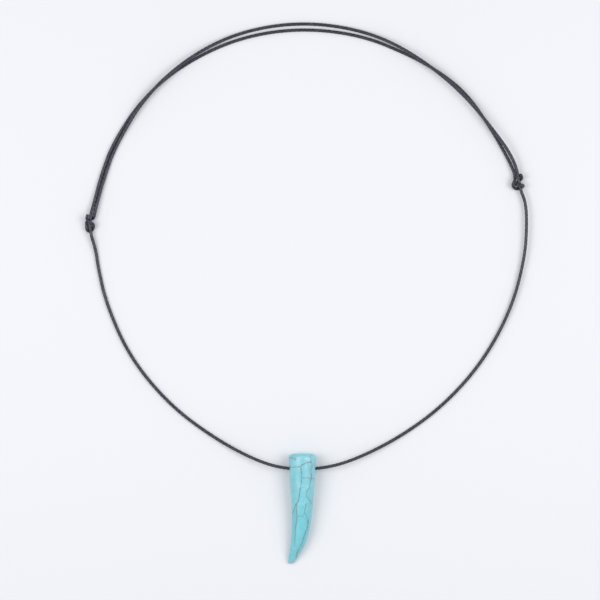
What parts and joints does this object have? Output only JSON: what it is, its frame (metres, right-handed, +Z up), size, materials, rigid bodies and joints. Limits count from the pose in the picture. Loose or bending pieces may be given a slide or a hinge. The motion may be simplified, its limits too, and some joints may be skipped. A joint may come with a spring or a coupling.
{
  "type": "pendant necklace",
  "caption": "Necklace lying flat: a horn-shaped turquoise stone pendant, bored crosswise near its wide end, on a thin waxed cord with sliding knots that set the loop's size.",
  "frame": {"origin": "middle of the cord's loop, on the surface that the necklace lies on", "axes": "+Z up from the surface; +Y away from the pendant, which points along -Y; +X to the right seen from above"},
  "size_m": [0.1611, 0.1968, 0.0092],
  "materials": {
    "stone": "polished turquoise with thin grey-brown veins",
    "cord": "black waxed twisted cord, 1.2 mm"
  },
  "bodies": {
    "root": {"pendant": "stone", "cord_left": "cord", "cord_right": "cord", "knot_left": "cord", "knot_right": "cord"}
  },
  "joints": []
}
